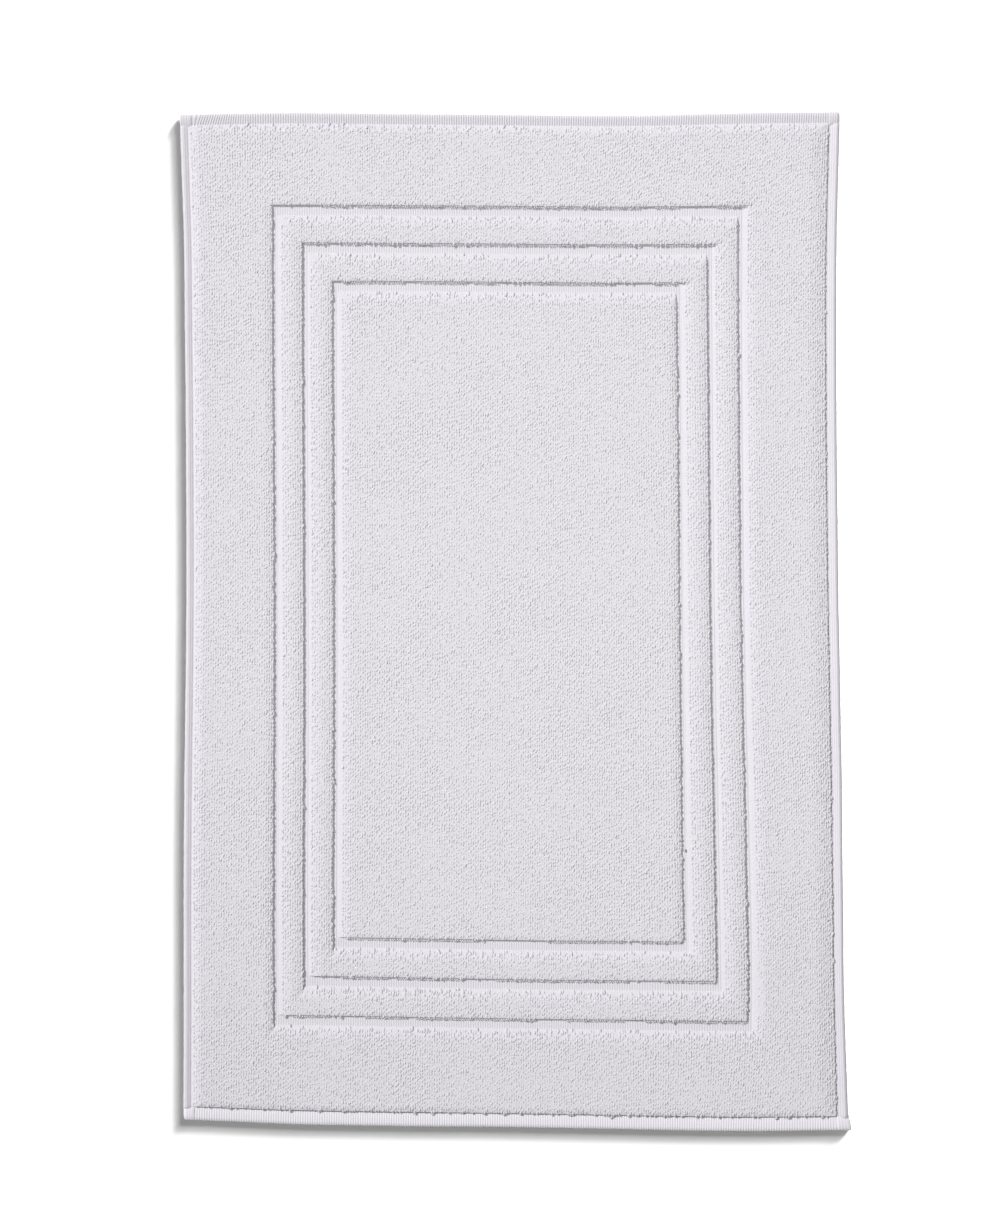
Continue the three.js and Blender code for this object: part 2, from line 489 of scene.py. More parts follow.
# The shoulder on each side of a zone, by the way outwards over it: how far it spreads beyond the loops or,
# if negative, how far they overhang it, its width, the share of the pile's height that it falls, its curve.
SHOULDERS = {
    (-1, 0): (4.6 * MM, 12.0 * MM, 0.68, 2.0),
    (0, 1): (1.4 * MM, 10.5 * MM, 0.60, 2.0),
    (1, 0): (-1.0 * MM, 7.0 * MM, 0.28, 2.0),
    (0, -1): (-0.3 * MM, 4.0 * MM, 0.12, 2.0),
}
BORDER_SHOULDERS = {
    (-1, 0): (2.0 * MM, 9.0 * MM, 0.9, 2.0),
    (0, 1): (0.8 * MM, 8.0 * MM, 0.55, 2.0),
    (1, 0): (-0.6 * MM, 16.0 * MM, 0.68, 1.8),
    (0, -1): (-0.3 * MM, 5.0 * MM, 0.36, 2.0),
}


def take_shape(*turns):
    """Turns the small body just added, in degrees about each axis, and takes its points and triangles."""
    body = bpy.context.object
    bpy.ops.object.mode_set(mode="EDIT")
    bpy.ops.mesh.select_all(action="SELECT")
    bpy.ops.mesh.quads_convert_to_tris()
    for axis, angle in turns:
        bpy.ops.transform.rotate(value=math.radians(angle), orient_axis=axis, center_override=(0, 0, 0))
    bpy.ops.object.mode_set(mode="OBJECT")
    triangles = np.array([tuple(face.vertices) for face in body.data.polygons], np.int32)
    places = places_of(body.data)
    bpy.data.objects.remove(body)
    return places, triangles


# One loop: a flattened length of yarn whose ends droop.
deselect_all()
bpy.ops.mesh.primitive_uv_sphere_add(segments=4, ring_count=4, radius=0.5)
loop_places, loop_triangles = take_shape(("Z", 45), ("X", 90))
loop_places = loop_places * (LOOP_WIDTH, LOOP_LENGTH, LOOP_YARN)
loop_places[:, 2] -= LOOP_DROOP * (loop_places[:, 1] / (LOOP_LENGTH / 2)) ** 2


def soft_noise(x, y, size, seed, clear=1):
    """Smooth random values from -1 to 1 that change over about this size. The pattern has a seam at 0, so
    it is read this many metres clear of there."""
    random = np.random.default_rng(seed)
    values = random.uniform(-1, 1, (256, 256))
    u = ((x + clear) / size) % 255
    v = ((y + clear) / size) % 255
    i = u.astype(int)
    j = v.astype(int)
    s = u - i
    t = v - j
    s = s * s * (3 - 2 * s)
    t = t * t * (3 - 2 * t)
    low = values[i, j] * (1 - s) + values[i + 1, j] * s
    high = values[i, j + 1] * (1 - s) + values[i + 1, j + 1] * s
    return low * (1 - t) + high * t


def turned(yaw, lean_x, lean_y):
    """Rotation matrices: turned about the upright, then leant to the right and away."""
    zero = np.zeros_like(yaw)
    one = np.ones_like(yaw)
    about_z = np.stack([np.cos(yaw), -np.sin(yaw), zero, np.sin(yaw), np.cos(yaw), zero, zero, zero, one], 1)
    about_y = np.stack([np.cos(lean_x), zero, np.sin(lean_x), zero, one, zero, -np.sin(lean_x), zero,
                        np.cos(lean_x)], 1)
    about_x = np.stack([one, zero, zero, zero, np.cos(lean_y), -np.sin(lean_y), zero, np.sin(lean_y),
                        np.cos(lean_y)], 1)
    return about_y.reshape(-1, 3, 3) @ about_x.reshape(-1, 3, 3) @ about_z.reshape(-1, 3, 3)


def copies_mesh(name, shape, triangles, turns, sizes, places):
    """One mesh of many turned, sized and placed copies of a small closed shape."""
    points = np.einsum("nij,nkj->nki", turns, shape[None] * sizes[:, None, :]) + places[:, None, :]
    count = len(places)
    faces = (triangles[None] + (np.arange(count) * len(shape))[:, None, None]).reshape(-1, 3)
    mesh = bpy.data.meshes.new(name)
    mesh.vertices.add(count * len(shape))
    mesh.vertices.foreach_set("co", points.astype(np.float32).ravel())
    mesh.loops.add(faces.size)
    mesh.loops.foreach_set("vertex_index", faces.astype(np.int32).ravel())
    mesh.polygons.add(len(faces))
    mesh.polygons.foreach_set("loop_start", np.arange(0, faces.size, 3, dtype=np.int32))
    mesh.update(calc_edges=True)
    piece = bpy.data.objects.new(name, mesh)
    bpy.context.scene.collection.objects.link(piece)
    return piece


def zone_hole(inner):
    """The hole in a zone: the next zone inwards with the bare channel round it."""
    low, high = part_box(inner)
    return low.x - CHANNEL_WIDTH, high.x + CHANNEL_WIDTH, low.y - CHANNEL_LENGTH, high.y + CHANNEL_LENGTH


def edges_of(x, y, zone, hole, outer=SHOULDERS):
    """For each edge of a zone: how far inside it the places are, the way outwards over it, its shoulder."""
    low, high = zone
    gaps = {(-1, 0): x - low.x, (1, 0): high.x - x, (0, -1): y - low.y, (0, 1): high.y - y}
    found = [(gap, way, outer[way]) for way, gap in gaps.items()]
    if hole:
        left, right, bottom, top = hole
        gaps = {(1, 0): left - x, (-1, 0): x - right, (0, 1): bottom - y, (0, -1): y - top}
        clear = np.maximum.reduce(list(gaps.values()))
        found += [(np.where(gap >= clear, clear, 1.0), way, SHOULDERS[way]) for way, gap in gaps.items()]
    return found


def pile_form(edges, rise):
    """The shape of a zone's face at each place: its share of the full height, its tilt to the right and
    upwards, how far inside the zone the place is, and the way over the nearest edge and its spread."""
    height = np.ones_like(edges[0][0])
    tilt = np.zeros((2, len(height)))
    for distance, way, (spread, width, fall, curve) in edges:
        left = 1 - np.clip((distance + spread) / width, 0, 1)
        height *= 1 - fall * left ** curve
        slope = np.arctan(rise * fall * curve / width * left ** (curve - 1))
        tilt += np.array(way)[:, None] * slope
    distances = np.stack([edge[0] for edge in edges])
    ways = np.array([edge[1] for edge in edges], float)
    spreads = np.array([edge[2][0] for edge in edges])
    nearest = distances.argmin(0)
    return height, tilt, distances.min(0), ways[nearest], spreads[nearest]


def shoulder_inset(height, shoulder):
    """How far inside its edge the bed of a zone reaches this share of its height."""
    spread, width, fall, curve = shoulder
    inset = width * (1 - min(1, (1 - height) / fall) ** (1 / curve)) - spread
    if spread > 0 and height < 1 - fall:
        inset -= STEP_WIDTH * (1 - height / (1 - fall))
    return inset


# How unevenly the loops stand. Neighbours wander and swell together, and each loop strays on its own.
ROW_WANDER = 0.35 * MM
FINE_SWELL = 0.02 * MM
BROAD_SWELL = 0.05 * MM
TURN_WANDER = math.radians(5)
STRAY_ACROSS = 0.10 * MM
STRAY_ALONG = 0.7 * MM
STRAY_UP = 0.03 * MM
STRAY_TURN = math.radians(10)
LEAN_RIGHT = math.radians(3)
STRAY_LEAN_RIGHT = math.radians(8.5)
STRAY_LEAN_BACK = math.radians(7)
STRAY_SIZE = 0.10
SIZE_LIMITS = (0.75, 1.3)
LENGTH_RANGE = (0.75, 1.1)
# On a shoulder they are looser and lean with its slope, and they are sown over this share of its spread.
SHOULDER_LOOSENESS = 2.2
LEAN_WITH_SLOPE = (1.2, -0.9)
SOWN_SPREAD = 0.65
# Along a zone's right edge a second row hangs this far over it and this much lower, with a ragged line, and
# the loops near its lower edge are pulled down over that.
OVERHANG = 1.2 * MM
OVERHANG_DROP = 0.45 * MM
OVERHANG_WANDER = 0.4 * MM
OVERHANG_RAGGED = 0.2 * MM
PULLED_DOWN = 0.15 * MM
PULLED_ROWS = 2.5 * MM
# Each column of loops is staggered against its neighbours. Columns are counted from the mat's middle.
MIDDLE_COLUMN = 512
COLUMN_STAGGER = np.random.default_rng(7).uniform(-0.5, 0.5, 2 * MIDDLE_COLUMN)


def sow_loops(name, zone, hole, outer, part, crown, ground, seed):
    """Loops over one part of a zone, as a piece. part is (left, right, bottom, top)."""
    random = np.random.default_rng(seed)
    left, right, bottom, top = part
    columns = np.arange(math.ceil(left / WARP_PITCH), math.floor(right / WARP_PITCH) + 1)
    rows = np.arange(math.floor(bottom / ROW_PITCH), math.ceil(top / ROW_PITCH) + 1)
    column, row = (grid.ravel() for grid in np.meshgrid(columns, rows, indexing="ij"))
    x = column * WARP_PITCH
    y = (row + COLUMN_STAGGER[column + MIDDLE_COLUMN]) * ROW_PITCH
    y += ROW_WANDER * soft_noise(x, y, size=6 * MM, seed=30)
    height, tilt, inside, outwards, spread = pile_form(edges_of(x, y, zone, hole, outer), crown - ground)
    margin = np.where(spread > 0, -SOWN_SPREAD * spread, EDGE_MARGIN)
    upright = np.flatnonzero((inside > margin) & (x >= left) & (x < right) & (y >= bottom) & (y < top))
    is_last_column = (outwards[:, 0] > 0) & (inside < EDGE_MARGIN + WARP_PITCH)
    sown = np.concatenate([upright, upright[is_last_column[upright]]])
    count = len(sown)
    hangs_over = np.arange(count) >= len(upright)
    x, y, height, inside = x[sown], y[sown], height[sown], inside[sown]
    tilt, outwards = tilt[:, sown], outwards[sown]

    z = ground + (crown - LOOP_YARN / 2 - ground) * height
    z += FINE_SWELL * soft_noise(x, y, size=9 * MM, seed=31)
    z += BROAD_SWELL * soft_noise(x, y, size=40 * MM, seed=32)
    loose = 1 + SHOULDER_LOOSENESS * (1 - height)
    z += random.normal(0, STRAY_UP, count) * loose
    yaw = random.normal(0, STRAY_TURN, count) + TURN_WANDER * soft_noise(x, y, size=7 * MM, seed=33)
    lean_x = LEAN_RIGHT + random.normal(0, STRAY_LEAN_RIGHT, count) * loose + LEAN_WITH_SLOPE[0] * tilt[0]
    lean_y = random.normal(0, STRAY_LEAN_BACK, count) * loose + LEAN_WITH_SLOPE[1] * tilt[1]
    sizes = random.normal(1, STRAY_SIZE, (count, 3)).clip(*SIZE_LIMITS)
    sizes[:, 1] *= random.uniform(*LENGTH_RANGE, count)
    x = x + random.normal(0, STRAY_ACROSS, count)
    y = y + random.normal(0, STRAY_ALONG, count)
    ragged = OVERHANG_WANDER * soft_noise(x, y, size=5 * MM, seed=36, clear=2)
    ragged += random.exponential(OVERHANG_RAGGED, count)
    x = np.where(hangs_over, x + inside - OVERHANG + ragged, x)
    z = np.where(hangs_over, z - OVERHANG_DROP, z)
    is_pulled = (outwards[:, 1] < 0) & (inside < PULLED_ROWS)
    y = np.where(is_pulled, y - random.exponential(PULLED_DOWN, count), y)
    places = np.stack([x, y, z], 1)
    return copies_mesh(name, loop_places, loop_triangles, turned(yaw, lean_x, lean_y), sizes, places)


# The loops pulled loose below a zone: how far below its edge and its crown, how small, and in what runs.
LOOSE_BELOW = 0.95 * MM
LOOSE_DEPTH = 1.4 * MM
LOOSE_SIZE = (0.85, 0.26, 0.6)
LOOSE_RUN = 16 * MM
LOOSE_ABOVE = -0.25
# How far they stray across, along and up, and how far they turn and lean, in radians.
STRAY_LOOSE = (0.15 * MM, 0.12 * MM, 0.2 * MM)
STRAY_LOOSE_TURN = 0.3
STRAY_LOOSE_LEAN = 0.2


def sow_strays(name, edges, crown, seed):
    """Small loops pulled loose in runs along lower edges, as a piece. Each edge is (left, right, y)."""
    random = np.random.default_rng(seed)
    found = []
    for left, right, level in edges:
        x = np.arange(left + WARP_PITCH, right - WARP_PITCH / 2, WARP_PITCH)
        x = x[soft_noise(x, 0 * x + level, LOOSE_RUN, seed=37) > LOOSE_ABOVE]
        y = level - LOOSE_BELOW + random.normal(0, STRAY_LOOSE[1], len(x))
        z = crown - LOOSE_DEPTH + random.normal(0, STRAY_LOOSE[2], len(x))
        x = x + random.normal(0, STRAY_LOOSE[0], len(x))
        found.append(np.stack([x, y, z], 1))
    places = np.concatenate(found)
    count = len(places)
    sizes = random.normal(1, STRAY_SIZE, (count, 3)) * LOOSE_SIZE
    yaw = random.normal(0, STRAY_LOOSE_TURN, count)
    lean = random.normal(0, STRAY_LOOSE_LEAN, count)
    return copies_mesh(name, loop_places, loop_triangles, turned(yaw, lean, lean), sizes, places)


# How much the patches of wear add to the flecks in the pile, how much of the sum is kept and how white it is
# from 0 to 1, then the fuzz of the fibres on the twist of the yarn.
PILE_PATCHES = 0.3
PILE_CONTRAST = 0.75
PILE_SHADE = 0.95
PILE_LIGHT = 1.04
FUZZ_A_METRE = 1500
TWISTS_A_METRE = 600
FUZZ_SHARE = 0.3
YARN_RELIEF = 0.52 * MM


def make_looped_cotton():
    """Pile cotton: matt, slightly uneven white, with the fibres and twist of a soft yarn."""
    made, tree, shader = new_material("looped_cotton")
    place = woven_place(tree)
    patch, fleck = wear_of(tree, place)
    mask = sum_node(tree, "MULTIPLY_ADD", patch, PILE_PATCHES, fleck)
    mask = sum_node(tree, "MULTIPLY", mask, PILE_CONTRAST)
    tinted(tree, shader, mask, shaded(COTTON_WHITE, PILE_SHADE), shaded(COTTON_WHITE, PILE_LIGHT))
    matt_cotton(tree, shader, fleck, wear=0.08, smoothest=0.9, specular=0.1, sheen=0.25, sheen_roughness=0.6)
    fuzz = noise_node(tree, place, FUZZ_A_METRE, 3, 0.6)
    twist = noise_node(tree, place, TWISTS_A_METRE)
    bumped(tree, shader, sum_node(tree, "MULTIPLY_ADD", fuzz, FUZZ_SHARE, twist), YARN_RELIEF)
    return made


looped_cotton = make_looped_cotton()

# The rim of a bed starts this deep in the cloth and rises in steps, which are shares of its height from a
# foot that is sunk a little in the cloth.
RIM_DEPTH = 0.8 * MM
RIM_STEPS = (0, 0.03, 0.14, 0.3, 0.5, 0.7, 0.85, 0.95, 1)
FOOT_SUNK = 0.1 * MM
BED_CUTS = 6


def make_bed(name, zone, hole, outer, ground, bed_level):
    """The tight lower pile that the loops stand in. Its rim is drawn up from inside the cloth, over the
    shoulders and, in a ring, down again inside."""
    low, high = zone
    outside = []
    inside = []
    for height in RIM_STEPS:
        level = ground + height * (bed_level - ground) if height else ground - RIM_DEPTH
        over = {way: shoulder_inset(height, shoulder) for way, shoulder in outer.items()}
        rim = (low.x + over[-1, 0], high.x - over[1, 0], low.y + over[0, -1], high.y - over[0, 1], level)
        outside.append(rim)
        if hole:
            left, right, bottom, top = hole
            back = {way: shoulder_inset(height, shoulder) for way, shoulder in SHOULDERS.items()}
            rim = (left - back[1, 0], right + back[-1, 0], bottom - back[0, 1], top + back[0, -1], level)
            inside.append(rim)
    steps = outside + inside[::-1]

    deselect_all()
    bpy.ops.mesh.primitive_plane_add(size=1)
    bed = bpy.context.object
    bed.name = name
    bpy.ops.object.mode_set(mode="EDIT")
    if hole:
        bpy.ops.mesh.delete(type="ONLY_FACE")
        bpy.ops.mesh.select_all(action="SELECT")
    before = (-0.5, 0.5, -0.5, 0.5, 0)
    for step, rim in enumerate(steps):
        centre = ((rim[0] + rim[1]) / 2, (rim[2] + rim[3]) / 2, rim[4])
        move = (centre[0] - (before[0] + before[1]) / 2, centre[1] - (before[2] + before[3]) / 2,
                centre[2] - before[4])
        if step == 0:
            bpy.ops.transform.translate(value=move)
        elif hole:
            bpy.ops.mesh.extrude_edges_move(TRANSFORM_OT_translate={"value": move})
        else:
            bpy.ops.mesh.extrude_region_move(TRANSFORM_OT_translate={"value": move})
        wider = (rim[1] - rim[0]) / (before[1] - before[0])
        longer = (rim[3] - rim[2]) / (before[3] - before[2])
        bpy.ops.transform.resize(value=(wider, longer, 1), center_override=centre)
        before = rim
    if hole:
        bpy.ops.mesh.select_all(action="DESELECT")
        bpy.ops.mesh.select_mode(type="EDGE")
        bpy.ops.mesh.select_non_manifold()
        bpy.ops.mesh.bridge_edge_loops()
    bpy.ops.mesh.select_all(action="SELECT")
    bpy.ops.mesh.subdivide(number_cuts=BED_CUTS)
    bpy.ops.mesh.normals_make_consistent(inside=False)
    bpy.ops.object.mode_set(mode="OBJECT")
    return bed


# The four zones, each with the next one inwards.
ZONES = (
    ("border", "outer_band"),
    ("outer_band", "inner_band"),
    ("inner_band", "centre"),
    ("centre", None),
)


def zone_parts(name, zone, hole):
    """Splits a big zone into the strips that it is sown in."""
    start = zone[0].x - SPREAD_ROOM
    end = zone[1].x
    floor_edge = zone[0].y
    ceiling = zone[1].y + SPREAD_ROOM
    if name == "border":
        left, right, bottom, top = hole
        bottom += SPREAD_ROOM
        return {
            "top": (start, end, top, ceiling),
            "left": (start, left, bottom, top),
            "right": (right - SPREAD_ROOM, end, bottom, top),
            "bottom": (start, end, floor_edge, bottom),
        }
    if name == "centre":
        words = ("first", "second", "third", "last")
        cuts = np.linspace(floor_edge, ceiling, len(words) + 1)
        return {word: (start, end, cuts[n], cuts[n + 1]) for n, word in enumerate(words)}
    return {"": (start, end, floor_edge, ceiling)}


for order, (zone_name, next_zone) in enumerate(ZONES):
    node = f"face_pile_{zone_name}"
    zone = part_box(node)
    hole = zone_hole(f"face_pile_{next_zone}") if next_zone else None
    outer = SHOULDERS if order else BORDER_SHOULDERS
    crown = zone[1].z
    ground = ground_high.z
    bed = make_bed(f"{zone_name}_bed", zone, hole, outer, ground - FOOT_SUNK, crown - BED_DEPTH)
    lay_down(bed, looped_cotton, "terry_pile", node, smooth=False)
    for strip, (word, part) in enumerate(zone_parts(zone_name, zone, hole).items()):
        label = f"{zone_name}_loops_{word}".rstrip("_")
        loops = sow_loops(label, zone, hole, outer, part, crown, ground, 100 + 10 * order + strip)
        map_from_above(loops)
        lay_down(loops, looped_cotton, "terry_pile", node)
    lower_edges = [(zone[0].x, zone[1].x, zone[0].y)] if order else []
    if hole:
        lower_edges.append((hole[0], hole[1], hole[3]))
    strays = sow_strays(f"{zone_name}_stray_loops", lower_edges, crown, 150 + order)
    lay_down(strays, looped_cotton, "terry_pile", node)


# ---------------------------------------------------------------------------------------------------------
# The pile on the back. The same loops stand on the floor under the mat's own weight, which presses them
# into flat, rounded clumps on a tight bed, in the same zones with the same channels between them.

CLUMP_WIDTH = 2.4 * MM
CLUMP_LENGTH = 6.4 * MM
CLUMP_DEPTH = 1.3 * MM
BACK_BED_DEPTH = 0.6 * MM
CLUMP_PITCH = 2 * ROW_PITCH
CLUMP_MARGIN = 1.2 * MM
CLUMP_SHOULDER = 4 * MM
CLUMP_RISE = 2.2 * MM
STRAY_CLUMP = 0.4 * MM
STRAY_CLUMP_SIZE = 0.08
STRAY_CLUMP_TURN = 0.12
CLUMP_SIZE_LIMITS = (0.8, 1.0)

deselect_all()
bpy.ops.mesh.primitive_cone_add(vertices=4, radius1=0.5, radius2=0, depth=1)
clump_places, clump_triangles = take_shape(("X", 180))
clump_places = clump_places * (CLUMP_WIDTH, CLUMP_LENGTH, CLUMP_DEPTH)


def press_clumps(name, zone, hole, seed):
    """The pressed loops under one zone, as a piece. They lift off the floor towards the zone's edges."""
    random = np.random.default_rng(seed)
    low, high = zone
    columns = np.arange(math.ceil(low.x / WARP_PITCH), math.floor(high.x / WARP_PITCH) + 1)
    rows = np.arange(math.ceil(low.y / CLUMP_PITCH), math.floor(high.y / CLUMP_PITCH) + 1)
    column, row = (grid.ravel() for grid in np.meshgrid(columns, rows, indexing="ij"))
    x = column * WARP_PITCH
    y = (row + np.where(column % 2, 0.5, 0)) * CLUMP_PITCH + random.normal(0, STRAY_CLUMP, len(row))
    inside = np.stack([edge[0] for edge in edges_of(x, y, zone, hole)]).min(0)
    kept = inside > CLUMP_MARGIN
    x, y, inside = x[kept], y[kept], inside[kept]
    count = len(x)
    z = CLUMP_DEPTH / 2 + CLUMP_RISE * np.clip(1 - inside / CLUMP_SHOULDER, 0, 1) ** 2
    sizes = random.normal(1, STRAY_CLUMP_SIZE, (count, 3)).clip(*CLUMP_SIZE_LIMITS)
    yaw = random.normal(0, STRAY_CLUMP_TURN, count)
    places = np.stack([x, y, z], 1)
    return copies_mesh(name, clump_places, clump_triangles, turned(yaw, 0 * yaw, 0 * yaw), sizes, places)


for order, (zone_name, next_zone) in enumerate(ZONES):
    node = f"back_pile_{zone_name}"
    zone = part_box(node)
    hole = zone_hole(f"back_pile_{next_zone}") if next_zone else None
    foot = -ground_low.z - FOOT_SUNK
    bed = make_bed(f"{zone_name}_back_bed", zone, hole, SHOULDERS, foot, -BACK_BED_DEPTH)
    set_places(bed.data, places_of(bed.data) * (1, 1, -1))
    bed.data.flip_normals()
    lay_down(bed, looped_cotton, "terry_pile", node, smooth=False)
    clumps = press_clumps(f"{zone_name}_pressed_loops", zone, hole, 200 + order)
    map_from_above(clumps)
    lay_down(clumps, looped_cotton, "terry_pile", node)


# ---------------------------------------------------------------------------------------------------------
# The hems. Woven without pile and pressed flat, the edges are turned under twice and sewn, which leaves a
# groove along each row of stitches. The side hems come first. The end hems keep the ribs of the warp, and
# their last few millimetres, folded over the ends of the side hems, are thicker and smooth.

HEM_PLY = 1.0 * MM
HEM_GAP = 0.15 * MM
# Relief of the upper face: millimetres from the inner edge, and millimetres up.
SIDE_RELIEF = (
    (0, -0.4), (0.8, -0.3), (1.6, -0.4), (2.4, -0.25),
    (3.4, 0.05), (4.6, 0.3), (6, 0.4), (7, 0.35),
)
END_RELIEF = (
    (0, -0.3), (0.9, -0.15), (1.8, -0.25), (2.6, 0.0),
    (4.2, 0.15), (6, 0.25), (8, 0.3), (9.2, 0.25),
)
# A hem fills out towards its fold and sinks to the floor there.
OUTER_FULLNESS = 0.80
OUTER_SINK = 0.9 * MM
# The smooth patch at each end of an end hem: how long it is, how far it reaches over the pile, how far it
# lifts, and how far its inner edge falls again and over what share of the hem's width.
PATCH_LENGTH = 9.0 * MM
PATCH_REACH = 3.4 * MM
PATCH_LIFT = 0.6 * MM
PATCH_FALL = 2.2 * MM
PATCH_EDGE = 0.4
# The ribs stand lower at the seam than at the fold, and a rounded corner is thinner by up to this share.
SEAM_RIB = 0.7
FOLD_RIB_GAIN = 0.8
CORNER_THINNING = 0.6
# Shade is painted deep into the furrows between the hems' ribs. The bottom hem has been pressed flatter than
# the other three and has less of it, and its cotton is painted whiter for the light that falls on it.
hem_cotton = woven_cotton("hem_cotton", depth=0.25 * MM, furrow=0.70, ridge=1.14)
flat_painted_light_hem_cotton = woven_cotton("flat_painted_light_hem_cotton", depth=0.2 * MM, furrow=0.82, ridge=1.16)


def fold_outline(width, top, relief):
    """Section of a hem turned under twice, outwards from its inner edge, as points (out, up)."""
    pitch = HEM_PLY + HEM_GAP
    half = HEM_PLY / 2
    upper = top - half
    middle = upper - pitch
    lower = middle - pitch
    outer = width - pitch - half
    inner = pitch / 2 + half

    def arc(x, y, radius, start, end, steps):
        angles = np.radians(np.linspace(start, end, steps))
        return [(x + radius * math.cos(a), y + radius * math.sin(a)) for a in angles]

    outline = [(out * MM, upper + half + up * MM) for out, up in relief]
    outline += arc(outer, middle, pitch + half, 90, -90, 8)
    outline += arc(inner, (lower + middle) / 2, pitch / 2 + half, 270, 90, 6)
    outline += [(outer - HEM_GAP, middle + half), (outer - HEM_GAP, middle - half)]
    outline += arc(inner, (lower + middle) / 2, pitch / 2 - half, 90, 270, 3)
    outline += arc(outer, middle, pitch - half, -90, 90, 4)
    outline += [(0, upper - half)]
    points = np.array(outline)
    share = (points[:, 0] / width).clip(0, 1)
    underside = lower - half
    fullness = 1 + OUTER_FULLNESS * share
    points[:, 1] = underside - OUTER_SINK * share + (points[:, 1] - underside) * fullness
    return points


def outline_normals(points):
    """The way out of the section at each of its points."""
    ahead = np.roll(points, -1, 0) - np.roll(points, 1, 0)
    ahead /= np.linalg.norm(ahead, axis=1)[:, None]
    return np.stack([-ahead[:, 1], ahead[:, 0]], 1)


def fold_hem(name, outline, stations, rib, patch, lean, corners):
    """A hem as one closed body, swept along its stations. rib, patch and lean hold for each station its
    relief, how far it belongs to a smooth corner patch, and how far its outer edge is drawn along the hem.
    corners are the rounding radii of its two ends."""
    around = len(outline)
    normals = outline_normals(outline)
    width = outline[:, 0].max()
    out_share = outline[:, 0] / width
    points = np.empty((len(stations), around, 3))
    for place, station in enumerate(stations):
        section = outline + normals * (rib[place] * (SEAM_RIB + FOLD_RIB_GAIN * out_share))[:, None]
        out = section[:, 0] - PATCH_REACH * patch[place] * (1 - out_share).clip(0, 1)
        fall = PATCH_FALL * (1 - out_share / PATCH_EDGE).clip(0, 1)
        up = section[:, 1] + patch[place] * (PATCH_LIFT - fall)
        from_end = min(station - stations[0], stations[-1] - station)
        radius = corners[0] if station < 0 else corners[1]
        if from_end < radius:
            share = 1 - from_end / radius
            shrink = 1 - math.sqrt(1 - share * share)
            out = out - shrink * radius * out_share
            up = up - CORNER_THINNING * shrink * (up - up.min())
        points[place, :, 0] = out
        points[place, :, 1] = station + lean[place] * out_share
        points[place, :, 2] = up
    faces = []
    for s in range(len(stations) - 1):
        for a in range(around):
            b = (a + 1) % around
            faces.append((s * around + a, s * around + b, (s + 1) * around + b, (s + 1) * around + a))
    faces.append(tuple(range(around))[::-1])
    faces.append(tuple(range((len(stations) - 1) * around, len(stations) * around)))
    mesh = bpy.data.meshes.new(name)
    mesh.from_pydata(points.reshape(-1, 3).tolist(), [], faces)
    piece = bpy.data.objects.new(name, mesh)
    bpy.context.scene.collection.objects.link(piece)
    only(piece)
    bpy.ops.object.mode_set(mode="EDIT")
    bpy.ops.mesh.select_all(action="SELECT")
    bpy.ops.mesh.normals_make_consistent(inside=False)
    bpy.ops.object.mode_set(mode="OBJECT")
    length_round = np.concatenate([[0], np.cumsum(np.linalg.norm(np.diff(outline, axis=0), axis=1))])
    woven = np.zeros((len(stations), around, 3))
    woven[:, :, 0] = np.asarray(stations)[:, None]
    woven[:, :, 1] = length_round[None]
    return piece, woven.reshape(-1, 3)


def to_edge(points, turn, distance):
    """Turns a hem made for the right-hand edge to its own edge, at this distance from the middle."""
    out = points[:, 0] + distance
    along = points[:, 1]
    c = math.cos(turn)
    s = math.sin(turn)
    return np.stack([out * c - along * s, out * s + along * c, points[:, 2]], 1)


def smooth_step(values):
    """Eases from 0 to 1 as the values go from 0 to 1."""
    share = np.clip(values, 0, 1)
    return share * share * (3 - 2 * share)


side_low, side_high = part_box("right_side_hem")
end_low, end_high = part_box("top_end_hem")
SIDE_HEM_WIDTH = side_high.x - side_low.x
END_HEM_WIDTH = end_high.y - end_low.y
hem_top = side_high.z
QUARTER = math.pi / 2

# The side hems run on a little way into the end hems, and their stitches pucker them.
SIDE_RUN_ON = 4 * MM
SIDE_STATIONS = 321
SIDE_CORNER = 1 * MM
PUCKER = 0.06 * MM

side_outline = fold_outline(SIDE_HEM_WIDTH, hem_top, SIDE_RELIEF)
side_stations = np.linspace(side_low.y - SIDE_RUN_ON, side_high.y + SIDE_RUN_ON, SIDE_STATIONS)
none = np.zeros(SIDE_STATIONS)
corners = (SIDE_CORNER, SIDE_CORNER)
for order, (node, turn) in enumerate((("right_side_hem", 0), ("left_side_hem", 2 * QUARTER))):
    pucker = np.random.default_rng(300 + order).normal(0, PUCKER, SIDE_STATIONS)
    hem, woven = fold_hem(f"{node}_fold", side_outline, side_stations, pucker, none, none, corners)
    set_places(hem.data, to_edge(places_of(hem.data), turn, MAT_WIDTH / 2 - SIDE_HEM_WIDTH))
    lay_down(hem, hem_cotton, "hem_weave", node, woven=woven[:, [1, 0, 2]])

# The ribs stand higher on the top hem, and near its left corner they are drawn aslant. The bottom hem flares
# at its right corner. Both corners are in the far half of their hem's stations.
TOP_RIB = 0.37 * MM
BOTTOM_RIB = 0.2 * MM
TOP_CORNERS = (3.0 * MM, 1.0 * MM)
BOTTOM_CORNERS = (3.2 * MM, 1.2 * MM)
PATCH_FADE = 1.2 * MM
RIBS_DRAWN = 4.0 * MM
DRAWN_START = 4 * MM
DRAWN_END = 62 * MM
DRAWN_FADE = 45 * MM
CORNER_FLARE = 2.4 * MM
FLARE_LENGTH = 14 * MM

